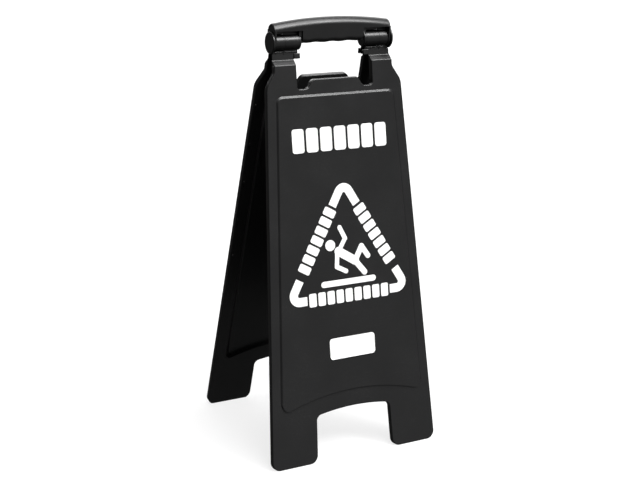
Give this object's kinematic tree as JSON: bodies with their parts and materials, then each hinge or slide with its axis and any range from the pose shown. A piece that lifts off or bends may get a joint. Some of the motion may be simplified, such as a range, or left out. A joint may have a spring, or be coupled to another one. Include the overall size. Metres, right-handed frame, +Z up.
{
  "type": "wet floor sign",
  "caption": "Folding A-frame floor sign: two tapered plastic panels with arched legs, hinged on pins to an arched carrying handle.",
  "frame": {"origin": "on the floor, midway between the feet of the two panels, when the sign stands open", "axes": "+X along the hinge axis, +Y from the front panel to the rear panel, +Z up"},
  "size_m": [0.278, 0.26, 0.6433],
  "materials": {
    "panel_plastic": "satin black polypropylene, fine moulded grain",
    "handle_plastic": "satin black polypropylene, slightly smoother than the panels",
    "pin_plastic": "satin black nylon",
    "white_print": "white screen-printed ink"
  },
  "bodies": {
    "handle": {"handle": "handle_plastic", "left_hinge_pin": "pin_plastic", "right_hinge_pin": "pin_plastic"},
    "front": {"front_panel": "panel_plastic", "front_heading_print": "white_print", "front_warning_print": "white_print", "front_label_print": "white_print"},
    "rear": {"rear_panel": "panel_plastic", "rear_heading_print": "white_print", "rear_warning_print": "white_print", "rear_label_print": "white_print"}
  },
  "joints": [
    {"name": "front_fold", "type": "hinge", "parent": "handle", "child": "front", "pos_m": [0, 0, 0.60907], "axis": [1, 0, 0], "range_deg": [0, 11.1]},
    {"name": "rear_fold", "type": "hinge", "parent": "handle", "child": "rear", "pos_m": [0, 0, 0.60907], "axis": [-1, 0, 0], "range_deg": [0, 11.1]}
  ]
}
